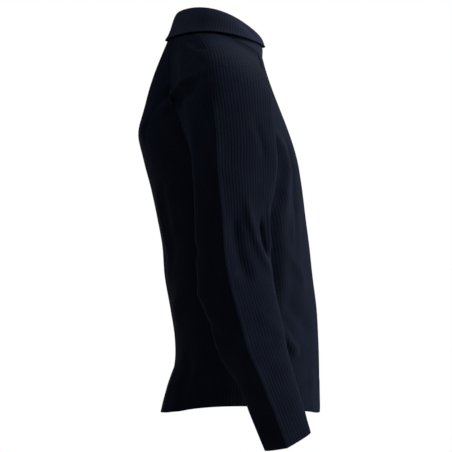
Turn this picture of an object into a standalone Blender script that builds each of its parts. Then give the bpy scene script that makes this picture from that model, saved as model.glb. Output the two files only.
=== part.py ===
"""A fine-rib turtleneck sweater, filled out as when it is worn.

Metres, +Z up. The front faces -Y and the wearer's right is at -X. The origin is the middle
of the neck opening, where the collar is joined on. The sweater is the same on both sides of
the plane X = 0.

Five pieces of cloth: a front, a back, two raglan sleeves that run from the neck to the cuff,
and a folded tube for the collar. Each is an open surface through named sections, and Solidify
gives it the thickness of the cloth.
"""

from collections import namedtuple

import bpy
import numpy as np

WALL = 0.0022  # thickness of the rib knit
SEAM_GAP = 0.0003  # room left between two pieces along a seam
BEND_ROOM = 1.40  # room for the walls at a bend, as a multiple of what two flat walls need
UNDERARM_INSET = 0.0034  # most room on each side, at the underarm, where the walls are parallel
INSET_FADE = 0.12  # part of a section over which the room closes below the underarm

# Rows and columns of faces in each piece.
BODY_ROWS = 12
YOKE_ROWS = 8
BODY_COLUMNS = 16
SLEEVE_ROWS = 18
SLEEVE_COLUMNS = 20
COLLAR_COLUMNS = 32
SAMPLES = 181  # points taken round a section before they are spaced evenly
SEAM_STEP = 0.02  # step across a piece that gives its direction at a seam
HANG_STEP = 0.02  # step down the body sections that gives their direction
LEAN_STEP = 0.25  # step along the sleeve's sections that gives its direction

# The neck seam is an ellipse seen from above. Angles run from 0 at the front to 180 at the
# back, and heights are given as a + b cos(angle) + c cos(2 angle), from three heights.
NECK_HALF_WIDTH = 0.064
NECK_FRONT = -0.0815
NECK_BACK = 0.0765
NECK_HEIGHTS = (-0.030, 0.004, 0.001)  # front, side, back

# Where the raglan seams meet the neck, in degrees.
RAGLAN_FRONT = 28.0
RAGLAN_BACK = 146.0

# How steeply the cloth leaves the neck, in degrees below level.
SLOPE_FRONT = 78.0
SLOPE_SIDE = 19.0
SLOPE_BACK = 69.0

# Body sections, from the underarm down. front, back and side are the Y of the front, of the
# back and of the side seam.
BodySection = namedtuple("BodySection", "z front back side half_width")
BODY_SECTIONS = (
    BodySection(-0.225, -0.1440, 0.1130, -0.005, 0.168),
    BodySection(-0.255, -0.1485, 0.1050, -0.009, 0.167),
    BodySection(-0.300, -0.1540, 0.0955, -0.016, 0.165),
    BodySection(-0.350, -0.1605, 0.0865, -0.024, 0.162),
    BodySection(-0.401, -0.1660, 0.0825, -0.030, 0.160),
    BodySection(-0.455, -0.1728, 0.0730, -0.037, 0.158),
    BodySection(-0.505, -0.1757, 0.0655, -0.042, 0.158),
    BodySection(-0.550, -0.1772, 0.0660, -0.044, 0.160),
    BodySection(-0.590, -0.1776, 0.0785, -0.044, 0.163),
    BodySection(-0.630, -0.1785, 0.0895, -0.044, 0.167),
)
BODY_SQUARENESS = 2.25  # exponent of the section's superellipse; 2 is an ellipse
HEM_SIDE_LIFT = 0.025  # how much higher the hem is at the side seams
HEM_LIFT_REACH = 0.16  # height over which that lift fades out

# Sleeve sections, from the underarm to the cuff, square to the sleeve. front and back are
# measured from the pressed crease on the outer side, and out and inner from the middle line.
SleeveSection = namedtuple("SleeveSection", "z x y front back out inner")
SLEEVE_SECTIONS = (
    SleeveSection(-0.229, -0.2225, -0.0065, 0.0948, 0.0355, 0.050, 0.0490),
    SleeveSection(-0.265, -0.2250, -0.0105, 0.0862, 0.0395, 0.049, 0.0450),
    SleeveSection(-0.307, -0.2270, -0.0145, 0.0740, 0.0425, 0.048, 0.0420),
    SleeveSection(-0.361, -0.2290, -0.0180, 0.071, 0.044, 0.047, 0.0400),
    SleeveSection(-0.408, -0.2300, -0.0270, 0.067, 0.049, 0.046, 0.0390),
    SleeveSection(-0.447, -0.2300, -0.0370, 0.064, 0.048, 0.044, 0.0380),
    SleeveSection(-0.479, -0.2300, -0.0460, 0.062, 0.046, 0.043, 0.0370),
    SleeveSection(-0.510, -0.2290, -0.0550, 0.059, 0.044, 0.040, 0.0350),
    SleeveSection(-0.546, -0.2280, -0.0710, 0.051, 0.0365, 0.036, 0.0320),
    SleeveSection(-0.573, -0.2270, -0.0820, 0.047, 0.035, 0.033, 0.0300),
    SleeveSection(-0.600, -0.2260, -0.0935, 0.044, 0.0365, 0.030, 0.0280),
    SleeveSection(-0.6550, -0.2230, -0.1150, 0.039, 0.0355, 0.026, 0.0240),
)
CREASE_SHOULDER = 0.30  # 0 makes the outer side a sharp ridge, 1 makes it flat
INNER_SHIFT = 0.010  # how far forward of the crease the inner side is fullest
CUFF_DROOP = 0.005  # how much lower the cuff hangs at the crease than at its front and back
DROOP_POWER = 6  # how closely that keeps to the cuff
RING_BLEND = 0.30  # part of the first ring over which it is drawn in to the underarm point

# The two seam tangents at the underarm, for the front seam; the back one is turned round in Y.
UNDERARM_TANGENT = (-0.05, 0.13, -0.10)
SEAM_PULL = 0.22  # length of the seam's tangent at the neck

# Lengths of the tangents at the neck and at the underarm, which set how full the cloth is.
Pull = namedtuple("Pull", "neck underarm")
FRONT_PULL = Pull(0.20, 0.20)
BACK_PULL = Pull(0.145, 0.30)
SHOULDER_PULL = Pull(0.52, 0.48)  # the sleeve over the top of the shoulder
SLEEVE_PULL = Pull(0.22, 0.26)  # the sleeve in front of it and behind it
TOP_POWER = 4  # how closely the first of these keeps to the top
SLEEVE_TURN = 0.75  # how far forward or back the sleeve leaves the neck, against straight out
SLEEVE_LEAN = 0.10  # how far forward the front of the sleeve leans where it meets the first ring
SEAM_BLEND = 0.22  # part of a panel's width over which the seam's tangents give way

# The fullest line across the shoulder blades, from which the back hangs.
BLADE_HEIGHT = -0.160
BLADE_REACH = 0.030
BLADE_OUT = 0.0065

# How the front of each shoulder stands forward between the neck and the arm.
SHOULDER_HEIGHT = -0.078
SHOULDER_REACH = 0.045
SHOULDER_OUT = 0.0085
SHOULDER_SPAN = 0.5  # part of the sleeve's width, from the front seam, that stands forward

# The collar: stand, fold and turned-down flap. Each ring is an ellipse, given by its half
# width, the Y of its front and back, and its heights at the front, side and back.
CollarRing = namedtuple("CollarRing", "half_width front back heights")
COLLAR_RINGS = (
    CollarRing(0.0640, -0.0815, 0.0765, (-0.0281, 0.0059, 0.0029)),
    CollarRing(0.0605, -0.0812, 0.0665, (-0.0130, 0.0180, 0.0190)),
    CollarRing(0.0575, -0.0735, 0.0560, (-0.0020, 0.0310, 0.0360)),
    CollarRing(0.0580, -0.0725, 0.0545, (0.0030, 0.0392, 0.0425)),
    CollarRing(0.0605, -0.0740, 0.0580, (0.0060, 0.0424, 0.0456)),
    CollarRing(0.0640, -0.0775, 0.0630, (0.0045, 0.0402, 0.0430)),
    CollarRing(0.0665, -0.0808, 0.0680, (0.0005, 0.0305, 0.0330)),
    CollarRing(0.0695, -0.0838, 0.0740, (-0.0065, 0.0180, 0.0160)),
    CollarRing(0.0715, -0.0850, 0.0797, (-0.0120, 0.0060, 0.0020)),
)

NAVY = (0.012, 0.017, 0.035, 1.0)
KNIT_ROUGHNESS = 0.9


def harmonic(heights, angle):
    """Height a + b cos(angle) + c cos(2 angle) through the front, side and back heights."""
    front, side, back = heights
    b = (front - back) / 2
    a_plus_c = (front + back) / 2
    c = (a_plus_c - side) / 2
    return a_plus_c - c + b * np.cos(angle) + c * np.cos(2 * angle)


def ellipse_ring(half_width, front, back, heights, angle):
    """Points at these angles round a neck-like ring, on the wearer's right for 0 to 180."""
    middle, half_depth = (front + back) / 2, (back - front) / 2
    x = -half_width * np.sin(angle)
    y = middle - half_depth * np.cos(angle)
    return np.stack([x, y, harmonic(heights, angle)], axis=-1)


def neck_seam(angle):
    return ellipse_ring(NECK_HALF_WIDTH, NECK_FRONT, NECK_BACK, NECK_HEIGHTS, angle)


def neck_direction(angle):
    """Unit vector in which the cloth leaves the neck: outwards, and down by its slope."""
    cosine = np.cos(angle)
    end = np.where(cosine > 0, SLOPE_FRONT, SLOPE_BACK)
    slope = np.radians(SLOPE_SIDE + (end - SLOPE_SIDE) * cosine**2)
    return np.stack(
        [-np.sin(angle) * np.cos(slope), -cosine * np.cos(slope), -np.sin(slope)], axis=-1
    )


def through(table, name, at):
    """A smooth value of one column of a table of sections, at fractional row numbers."""
    values = np.array([getattr(row, name) for row in table])
    slopes = np.gradient(values)
    at = np.clip(at, 0, len(values) - 1)
    row = np.minimum(at.astype(int), len(values) - 2)
    t = at - row
    return (
        values[row] * (1 + 2 * t) * (1 - t) ** 2
        + values[row + 1] * t**2 * (3 - 2 * t)
        + slopes[row] * t * (1 - t) ** 2
        - slopes[row + 1] * t**2 * (1 - t)
    )


def even(points, count):
    """Points spaced evenly by length along a curve given by many points."""
    steps = np.linalg.norm(np.diff(points, axis=0), axis=1)
    length = np.concatenate([[0], np.cumsum(steps)])
    wanted = length[-1] * np.asarray(count)
    return np.stack([np.interp(wanted, length, points[:, k]) for k in range(3)], axis=-1)


def hermite(start, start_pull, end, end_pull, t):
    """Cubic curve from start to end that leaves and arrives along the two pulls."""
    return (
        start * (1 + 2 * t) * (1 - t) ** 2
        + end * t**2 * (3 - 2 * t)
        + start_pull * t * (1 - t) ** 2
        - end_pull * t**2 * (1 - t)
    )


def body_point(row, angle):
    """Points of the body's section at a fractional row. Angle 0 is the front, 180 the back."""
    z, front, back, side, half_width = (
        through(BODY_SECTIONS, name, row) for name in BodySection._fields
    )
    power = 2 / BODY_SQUARENESS
    across, along = np.sin(angle), np.cos(angle)
    depth = np.where(along > 0, side - front, back - side)
    x = -half_width * np.sign(across) * np.abs(across) ** power
    y = side - depth * np.sign(along) * np.abs(along) ** power
    above_hem = z - BODY_SECTIONS[-1].z
    fade = np.clip(1 - above_hem / HEM_LIFT_REACH, 0, 1) ** 2
    lift = HEM_SIDE_LIFT * fade * np.abs(x / half_width) ** 2
    return np.stack([x, y, z + lift], axis=-1)


def body_row(row, across, is_back):
    """A row of a body panel at the fractions 'across', from the right side seam to the left."""
    angle = np.linspace(np.pi / 2, -np.pi / 2, SAMPLES)
    if is_back:
        angle = np.pi - angle
    return even(body_point(np.full(angle.shape, float(row)), angle), across)


def seam_ends(is_back):
    """Start, start pull, end and end pull of the right front or back raglan seam."""
    angle = np.radians(RAGLAN_BACK if is_back else RAGLAN_FRONT)
    turn = np.array([1, -1 if is_back else 1, 1])
    underarm = body_point(np.array(0.0), np.array(np.pi / 2))
    return (
        neck_seam(angle),
        neck_direction(angle) * SEAM_PULL,
        underarm,
        np.array(UNDERARM_TANGENT) * turn,
    )


def seam_share(across):
    """1 on a piece's side edges and 0 past SEAM_BLEND in from them."""
    t = np.clip(np.minimum(across, 1 - across) / SEAM_BLEND, 0, 1)
    return (1 - t * t * (3 - 2 * t))[:, None]


def width_of(points):
    return np.linalg.norm(np.diff(points, axis=0), axis=1).sum()


def inset(across, rooms, width):
    """The fractions across a row, drawn in by the room that each of its two seams needs."""
    first, last = rooms[0] / width, rooms[1] / width
    return first + across * (1 - first - last)


def mirrored(points):
    """The same points on the wearer's left."""
    return points * np.array([-1, 1, 1])


def yoke_row(down, across, is_back):
    """A row of a body panel above the underarm: 0 down is the neck and 1 the underarm."""
    limit = np.radians(RAGLAN_BACK if is_back else RAGLAN_FRONT)
    if is_back:
        angle = limit + (2 * np.pi - 2 * limit) * across
    else:
        angle = limit - 2 * limit * across
    neck = neck_seam(angle)
    pull = BACK_PULL if is_back else FRONT_PULL
    neck_pull = neck_direction(angle) * pull.neck
    chest = body_row(0, across, is_back)
    chest_pull = body_row(HANG_STEP, across, is_back) - chest
    chest_pull *= pull.underarm / np.linalg.norm(chest_pull, axis=1, keepdims=True)
    _, start, _, end = seam_ends(is_back)
    share = seam_share(across)
    is_right = (across < 0.5)[:, None]
    neck_pull = neck_pull * (1 - share) + np.where(is_right, start, mirrored(start)) * share
    chest_pull = chest_pull * (1 - share) + np.where(is_right, end, mirrored(end)) * share
    points = hermite(neck, neck_pull, chest, chest_pull, down)
    if is_back:
        near = np.exp(-(((points[:, 2] - BLADE_HEIGHT) / BLADE_REACH) ** 2))
        points[:, 1] += BLADE_OUT * near * (1 - share[:, 0])
    return points


def seam_room(down, is_back):
    """Room on each side of a raglan seam, for the two walls that meet there at an angle."""
    panel = yoke_row(down, np.array([0.0, SEAM_STEP]), is_back)
    ends = np.array([1.0, 1 - SEAM_STEP] if is_back else [0.0, SEAM_STEP])
    sleeve = shoulder_row(down, ends)
    into_panel, into_sleeve = panel[1] - panel[0], sleeve[1] - sleeve[0]
    cosine = into_panel @ into_sleeve / np.linalg.norm(into_panel) / np.linalg.norm(into_sleeve)
    bend = np.pi - np.arccos(np.clip(cosine, -1, 1))
    return min(SEAM_GAP / 2 + BEND_ROOM * WALL / 2 * np.tan(bend / 2), UNDERARM_INSET)


def body_panel(is_back):
    """Grid of points of the front or back, rows from the neck to the hem."""
    columns = np.linspace(0, 1, BODY_COLUMNS + 1)
    rows = []
    for down in np.linspace(0, 1, YOKE_ROWS + 1):
        room = seam_room(down, is_back)
        width = width_of(yoke_row(down, columns, is_back))
        rows.append(yoke_row(down, inset(columns, (room, room), width), is_back))
    for row in np.linspace(0, len(BODY_SECTIONS) - 1, BODY_ROWS + 1)[1:]:
        room = SEAM_GAP + UNDERARM_INSET * np.exp(-row / INSET_FADE)
        width = width_of(body_row(row, columns, is_back))
        rows.append(body_row(row, inset(columns, (room, room), width), is_back))
    return np.array(rows)


def sleeve_loop(front, back, out, inner):
    """Section of the sleeve seen along it, as (forward, outward) pairs from the inner seam
    round the front, over the crease and round the back. The outer quarters are quadratic
    curves that meet in the crease, and the inner ones are quarter ellipses."""
    t = np.linspace(0, 1, SAMPLES // 4)[:, None]
    knee = CREASE_SHOULDER * out
    crease = np.array([0.0, out])
    front_tip, back_tip = np.array([front, 0.0]), np.array([-back, 0.0])

    def outer(tip):
        bend = np.array([tip[0], knee])
        return tip * (1 - t) ** 2 + 2 * bend * t * (1 - t) + crease * t**2

    def inside(tip):
        a = t * np.pi / 2
        start = INNER_SHIFT
        forward = start + (tip[0] - start) * np.sin(a)
        return np.concatenate([forward, -inner * np.cos(a)], axis=1)

    return np.concatenate(
        [inside(front_tip), outer(front_tip)[1:], outer(back_tip)[::-1][1:], inside(back_tip)[::-1][1:]]
    )


def sleeve_row(row, across):
    """A ring of the sleeve at a fractional section number."""
    at = np.array(float(row))
    z, x, y, front, back, out, inner = (
        float(through(SLEEVE_SECTIONS, name, at)) for name in SleeveSection._fields
    )
    ahead, behind = np.array(row + LEAN_STEP), np.array(max(row - LEAN_STEP, 0.0))
    along = np.array(
        [
            float(through(SLEEVE_SECTIONS, name, ahead) - through(SLEEVE_SECTIONS, name, behind))
            for name in ("x", "y", "z")
        ]
    )
    along /= np.linalg.norm(along)
    forward = np.cross(along, [1.0, 0.0, 0.0])
    forward /= np.linalg.norm(forward)
    outward = np.cross(forward, along)
    if outward[0] > 0:
        outward = -outward
    if forward[1] > 0:
        forward = -forward
    loop = sleeve_loop(front, back, out, inner)
    points = np.array([x, y, z]) + loop[:, :1] * forward + loop[:, 1:] * outward
    near_cuff = (row / (len(SLEEVE_SECTIONS) - 1)) ** DROOP_POWER
    points[:, 2] -= CUFF_DROOP * near_cuff * np.maximum(loop[:, 1], 0) / out
    return even(points, across)


def underarm_ring(across):
    """The sleeve's first ring, drawn in at its inner side to the underarm point."""
    ring = sleeve_row(0, across)
    underarm = body_point(np.array(0.0), np.array(np.pi / 2)) - np.array([UNDERARM_INSET, 0, 0])
    inner = sleeve_row(0, np.array([0.0]))[0]
    share = np.clip(1 - np.minimum(across, 1 - across) / RING_BLEND, 0, 1)[:, None]
    share = share * share * (3 - 2 * share)
    return ring + (underarm - inner) * share


def shoulder_row(down, across):
    """A row of the sleeve above the underarm, from the front seam to the back seam."""
    front, back = np.radians(RAGLAN_FRONT), np.radians(RAGLAN_BACK)
    angle = front + (back - front) * across
    neck = neck_seam(angle)
    top = np.sin(angle)[:, None] ** TOP_POWER
    leave = SLEEVE_PULL.neck + (SHOULDER_PULL.neck - SLEEVE_PULL.neck) * top
    neck_pull = neck_direction(angle) * leave * np.array([1, SLEEVE_TURN, 1])
    ring = underarm_ring(across)
    lean = -SLEEVE_LEAN * np.maximum(np.cos(np.pi * across), 0)
    arrive = SLEEVE_PULL.underarm + (SHOULDER_PULL.underarm - SLEEVE_PULL.underarm) * top
    ring_pull = arrive * np.stack([0 * lean, lean, 0 * lean - 1], axis=1)
    share = seam_share(across)
    is_front = (across < 0.5)[:, None]
    start = np.where(is_front, seam_ends(False)[1], seam_ends(True)[1])
    end = np.where(is_front, seam_ends(False)[3], seam_ends(True)[3])
    neck_pull = neck_pull * (1 - share) + start * share
    ring_pull = ring_pull * (1 - share) + end * share
    points = hermite(neck, neck_pull, ring, ring_pull, down)
    near = np.exp(-(((points[:, 2] - SHOULDER_HEIGHT) / SHOULDER_REACH) ** 2))
    bulge = np.sin(np.pi * np.minimum(across / SHOULDER_SPAN, 1))
    points[:, 1] -= SHOULDER_OUT * near * bulge
    return points


def sleeve_surface():
    """Points and faces of the right sleeve: open rows over the shoulder, closed rings below."""
    columns = np.linspace(0, 1, SLEEVE_COLUMNS + 1)
    rows = []
    for down in np.linspace(0, 1, YOKE_ROWS + 1)[:-1]:
        rooms = seam_room(down, False), seam_room(down, True)
        width = width_of(shoulder_row(down, columns))
        rows.append(shoulder_row(down, inset(columns, rooms, width)))
    rings = [underarm_ring(columns[:-1])]
    for row in np.linspace(0, len(SLEEVE_SECTIONS) - 1, SLEEVE_ROWS + 1)[1:]:
        rings.append(sleeve_row(row, columns[:-1]))
    points = np.concatenate(rows + rings)
    faces = grid_faces(len(rows), SLEEVE_COLUMNS + 1)
    first = len(rows) * (SLEEVE_COLUMNS + 1)
    last_open = first - (SLEEVE_COLUMNS + 1)
    for j in range(SLEEVE_COLUMNS):
        after = (j + 1) % SLEEVE_COLUMNS
        faces.append((last_open + j, last_open + j + 1, first + after, first + j))
    faces += grid_faces(len(rings), SLEEVE_COLUMNS, first, closed=True)
    return points, faces


def grid_faces(rows, columns, first=0, closed=False):
    """Quads between the rows of a grid of points; a closed one joins its last column to its
    first."""
    faces = []
    for i in range(rows - 1):
        for j in range(columns if closed else columns - 1):
            after = (j + 1) % columns
            here, below = first + i * columns, first + (i + 1) * columns
            faces.append((here + j, here + after, below + after, below + j))
    return faces


def collar_surface():
    """Points and faces of the collar, rings from the neck seam over the fold to the free edge."""
    angle = np.linspace(0, 2 * np.pi, COLLAR_COLUMNS, endpoint=False)
    rings = [ellipse_ring(*ring, angle) for ring in COLLAR_RINGS]
    return np.concatenate(rings), grid_faces(len(rings), COLLAR_COLUMNS, closed=True)


def knit_material(name, shade):
    material = bpy.data.materials.new(name)
    material.use_nodes = True
    shader = material.node_tree.nodes["Principled BSDF"]
    shader.inputs["Base Color"].default_value = [c * shade for c in NAVY[:3]] + [1.0]
    shader.inputs["Roughness"].default_value = KNIT_ROUGHNESS
    shader.inputs["Metallic"].default_value = 0.0
    return material


def add_cloth(name, points, faces, shade, collection, turn_over=False):
    """A piece of cloth: an open surface that Solidify thickens by half the wall each way."""
    mesh = bpy.data.meshes.new(name)
    if turn_over:
        faces = [tuple(reversed(face)) for face in faces]
    mesh.from_pydata(points.tolist(), [], faces)
    mesh.update()
    mesh.shade_smooth()
    piece = bpy.data.objects.new(name, mesh)
    collection.objects.link(piece)
    piece.data.materials.append(knit_material(name + "_knit", shade))
    wall = piece.modifiers.new("Wall", "SOLIDIFY")
    wall.thickness = WALL
    wall.offset = 0.0
    wall.use_even_offset = True
    return piece


def clear_scene():
    for old in list(bpy.data.objects):
        bpy.data.objects.remove(old, do_unlink=True)


def main():
    clear_scene()
    sweater = bpy.data.collections.new("turtleneck_sweater")
    bpy.context.scene.collection.children.link(sweater)
    for name, is_back, shade in (("front", False, 1.0), ("back", True, 0.9)):
        grid = body_panel(is_back)
        rows, columns = grid.shape[:2]
        faces = grid_faces(rows, columns)
        add_cloth(name, grid.reshape(-1, 3), faces, shade, sweater, turn_over=is_back)
    points, faces = sleeve_surface()
    add_cloth("sleeve_right", points, faces, 1.1, sweater, turn_over=True)
    add_cloth("sleeve_left", mirrored(points), faces, 1.1, sweater)
    points, faces = collar_surface()
    add_cloth("collar", points, faces, 1.2, sweater)


main()
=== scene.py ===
"""The looks of a fine-rib turtleneck sweater, filled out as when it is worn.

Metres, +Z up. The front faces -Y and the wearer's right is at -X. Each piece of cloth is a
surface over its own flat pattern: X runs across the ribs from the piece's middle line, and Y
runs along them from the neck seam. The ribs follow the lines of equal X, so they are cut off
by the seams as they are on the real cloth.
"""

import math
from collections import namedtuple

import bpy
import numpy as np
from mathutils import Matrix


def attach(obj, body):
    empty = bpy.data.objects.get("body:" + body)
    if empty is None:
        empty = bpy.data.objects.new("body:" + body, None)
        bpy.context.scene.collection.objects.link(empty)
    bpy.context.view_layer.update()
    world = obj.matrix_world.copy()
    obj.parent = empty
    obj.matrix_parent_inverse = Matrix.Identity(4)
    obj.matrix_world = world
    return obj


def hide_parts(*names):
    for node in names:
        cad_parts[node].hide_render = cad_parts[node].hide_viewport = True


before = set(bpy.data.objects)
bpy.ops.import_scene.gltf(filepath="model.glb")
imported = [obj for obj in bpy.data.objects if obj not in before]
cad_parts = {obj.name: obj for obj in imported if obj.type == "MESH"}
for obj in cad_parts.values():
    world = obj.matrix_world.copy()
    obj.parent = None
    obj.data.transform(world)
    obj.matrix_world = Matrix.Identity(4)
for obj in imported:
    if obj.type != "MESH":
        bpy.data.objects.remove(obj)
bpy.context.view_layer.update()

# ---------------------------------------------------------------------------
# Front and back panels. Each is one piece of navy wool, knitted in a fine rib that runs from
# the neck to a plain hem, and cut with a slanting raglan edge on each side. They are sewn
# together down the sides.
# ---------------------------------------------------------------------------

WALL = 0.0018  # thickness of the knit between two ribs
RIB_PITCH = 0.0052
RIB_HEIGHT = 0.00042  # from the groove to the top of a rib
RIB_FULLNESS = 0.8  # power of the rib's wave: below 1, ribs are wider than grooves
PER_RIB = 4  # columns of vertices to a rib
ROWS = 130  # rows of vertices from the neck to the hem
SAMPLES = 721  # points taken round a section before they are spaced by length
DOWN_SAMPLES = 41  # heights at which the width of a cut is measured
ACROSS_SAMPLES = 161  # points across it at each
NEAR_ZERO = 1e-12  # the least length that a normal is divided by

NECK_HALF_WIDTH = 0.064
NECK_FRONT = -0.0815
NECK_BACK = 0.0765
NECK_HEIGHTS = (-0.030, 0.004, 0.001)  # front, side, back
NECK_RIM = 0.008  # the plain edge under the collar, where the ribs are pressed flat
RAGLAN_FRONT = math.radians(28.0)  # where the raglan seams start, round from the neck's front
RAGLAN_BACK = math.radians(146.0)
SLOPE_FRONT = math.radians(78.0)  # how steeply the cloth leaves the neck
SLOPE_SIDE = math.radians(19.0)
SLOPE_BACK = math.radians(69.0)

# The height of a section in its middle, the y of its front, back and widest place, and half
# of its width.
BodySection = namedtuple("BodySection", "z front back side half_width")
BODY_SECTIONS = (
    BodySection(-0.225, -0.1440, 0.1130, -0.005, 0.168),
    BodySection(-0.255, -0.1485, 0.1050, -0.009, 0.167),
    BodySection(-0.300, -0.1540, 0.0955, -0.016, 0.165),
    BodySection(-0.350, -0.1605, 0.0865, -0.024, 0.162),
    BodySection(-0.401, -0.1660, 0.0825, -0.030, 0.160),
    BodySection(-0.455, -0.1728, 0.0730, -0.037, 0.158),
    BodySection(-0.505, -0.1757, 0.0655, -0.042, 0.158),
    BodySection(-0.550, -0.1772, 0.0660, -0.044, 0.160),
    BodySection(-0.590, -0.1776, 0.0785, -0.044, 0.163),
    BodySection(-0.630, -0.1785, 0.0895, -0.044, 0.167),
)
BODY_SQUARENESS = 2.25  # power of the superellipse
HEM_SIDE_LIFT = 0.025  # how much higher the hem is at the side seams
HEM_LIFT_REACH = 0.16  # how far above the hem that lift fades out
YOKE_LENGTH = 0.215  # from the neck seam to the underarm, along the cloth
BODY_LENGTH = 0.405  # from the underarm to the hem

# Above the underarm the cloth is made of cubic curves. A pull is the length of such a curve's
# tangent where it leaves the neck or where it arrives at the underarm.
Pull = namedtuple("Pull", "neck underarm")
FRONT_PULL = Pull(0.20, 0.20)
BACK_PULL = Pull(0.145, 0.30)
SEAM_PULL = 0.22  # of the raglan seams at the neck
UNDERARM_TANGENT = np.array([-0.05, 0.13, -0.10])  # of the raglan seams at the underarm
SEAM_BLEND = 0.22  # share of a piece's width over which its curves turn into the seam's
SECTION_STEP = 0.02  # step down the table that gives the direction of the body's side
BLADE_HEIGHT = -0.160  # where the shoulder blades fill the back out
BLADE_REACH = 0.030  # how far up and down
BLADE_OUT = 0.0065  # and by how much
SEAM_DEPTH = 0.0005  # how far a sewn edge is drawn in
SEAM_WIDTH = 0.0035

# Creases on a flat pattern: a line from (x0, y0) to (x1, y1), bowed sideways by bow, with a
# height above the cloth, negative for a trough. x is towards the wearer's left.
Fold = namedtuple("Fold", "x0 y0 x1 y1 bow width height")
FOLD_END = 0.28  # share of a fold's length at each end over which it dies out
FRONT_FOLDS = (
    # the hollow between each arm and the chest, and the fuller fold beside it
    Fold(-0.088, 0.120, -0.152, 0.330, 0.004, 0.013, -0.0085),
    Fold(-0.146, 0.265, -0.172, 0.450, 0.004, 0.017, -0.0075),
    Fold(-0.060, 0.130, -0.128, 0.380, 0.006, 0.009, 0.0045),
    Fold(0.090, 0.125, 0.150, 0.315, -0.004, 0.014, -0.0080),
    Fold(0.142, 0.255, 0.168, 0.430, -0.004, 0.018, -0.0065),
    Fold(0.062, 0.140, 0.120, 0.330, 0.002, 0.011, 0.0035),
    # drags from the waist to the sides
    Fold(-0.185, 0.445, -0.134, 0.512, -0.005, 0.010, -0.0085),
    Fold(-0.170, 0.415, -0.090, 0.470, -0.006, 0.013, 0.0035),
    Fold(-0.155, 0.350, -0.095, 0.420, 0.004, 0.010, -0.0030),
    Fold(-0.118, 0.260, -0.122, 0.450, 0.002, 0.022, -0.0040),
    Fold(0.180, 0.440, 0.118, 0.505, 0.008, 0.012, -0.0060),
    Fold(0.165, 0.400, 0.085, 0.462, 0.005, 0.013, 0.0030),
    # soft hanging folds above the hem
    Fold(-0.052, 0.470, -0.040, 0.640, 0.004, 0.014, 0.0030),
    Fold(-0.095, 0.520, -0.100, 0.640, 0.003, 0.012, -0.0025),
    Fold(0.058, 0.490, 0.070, 0.640, -0.004, 0.015, 0.0030),
    Fold(0.012, 0.540, 0.016, 0.640, 0.002, 0.013, -0.0020),
)
BACK_FOLDS = (
    # the ridge from each shoulder blade up to the raglan seam
    Fold(-0.080, 0.188, -0.122, 0.050, 0.000, 0.0085, 0.0048),
    Fold(-0.050, 0.176, -0.135, 0.112, 0.004, 0.011, -0.0030),
    Fold(0.078, 0.190, 0.120, 0.058, 0.001, 0.0100, 0.0036),
    Fold(0.046, 0.180, 0.130, 0.120, -0.004, 0.011, -0.0030),
    # drags across the hollow of the back
    Fold(-0.190, 0.400, -0.060, 0.462, 0.012, 0.015, -0.0050),
    Fold(0.190, 0.410, 0.050, 0.470, -0.012, 0.015, -0.0045),
    Fold(-0.165, 0.345, -0.020, 0.392, 0.010, 0.016, 0.0035),
    Fold(0.160, 0.350, 0.030, 0.398, -0.010, 0.016, 0.0035),
    # long soft folds down to the hem
    Fold(-0.118, 0.220, -0.106, 0.400, 0.004, 0.013, 0.0025),
    Fold(-0.082, 0.240, -0.074, 0.420, 0.003, 0.013, -0.0025),
    Fold(-0.120, 0.490, -0.132, 0.640, 0.004, 0.018, 0.0045),
    Fold(-0.060, 0.510, -0.062, 0.640, 0.003, 0.016, -0.0025),
    Fold(0.090, 0.500, 0.105, 0.640, 0.004, 0.020, 0.0045),
    Fold(0.030, 0.520, 0.034, 0.640, 0.003, 0.016, -0.0020),
)


def through(table, name, at):
    """A smooth value of one column of a table of sections, at fractional row numbers."""
    values = np.array([getattr(row, name) for row in table])
    slopes = np.gradient(values)
    at = np.clip(at, 0, len(values) - 1)
    row = np.minimum(at.astype(int), len(values) - 2)
    t = at - row
    return (
        values[row] * (1 + 2 * t) * (1 - t) ** 2
        + values[row + 1] * t**2 * (3 - 2 * t)
        + slopes[row] * t * (1 - t) ** 2
        - slopes[row + 1] * t**2 * (1 - t)
    )


def smooth(t):
    """0 below t = 0, 1 above t = 1, and 3 t squared less 2 t cubed between them."""
    t = np.clip(t, 0, 1)
    return t * t * (3 - 2 * t)


def unit(vectors):
    """Each vector divided by its own length."""
    return vectors / np.linalg.norm(vectors, axis=-1, keepdims=True)


def length_along(points):
    """Distance along lines of points, from 0 at their first point; the lines are the next to
    last axis."""
    steps = np.linalg.norm(np.diff(points, axis=-2), axis=-1)
    return np.concatenate([np.zeros(steps.shape[:-1] + (1,)), np.cumsum(steps, axis=-1)], axis=-1)


def hermite(start, start_pull, end, end_pull, t):
    """Cubic curve from start to end that leaves and arrives along the two pulls."""
    t = t[..., None]
    return (
        start * (1 + 2 * t) * (1 - t) ** 2
        + end * t**2 * (3 - 2 * t)
        + start_pull * t * (1 - t) ** 2
        - end_pull * t**2 * (1 - t)
    )


def ring_height(heights, angle):
    """Height a + b cos(angle) + c cos(2 angle) through the front, side and back heights."""
    front, side, back = heights
    b = (front - back) / 2
    c = ((front + back) / 2 - side) / 2
    return side + c + b * np.cos(angle) + c * np.cos(2 * angle)


def neck_seam(angle):
    """The seam between collar and body: an ellipse seen from above. 0 is the front, 180 the
    back, and the wearer's right lies between them."""
    middle, half_depth = (NECK_FRONT + NECK_BACK) / 2, (NECK_BACK - NECK_FRONT) / 2
    x = -NECK_HALF_WIDTH * np.sin(angle)
    y = middle - half_depth * np.cos(angle)
    return np.stack([x, y, ring_height(NECK_HEIGHTS, angle)], axis=-1)


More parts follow.
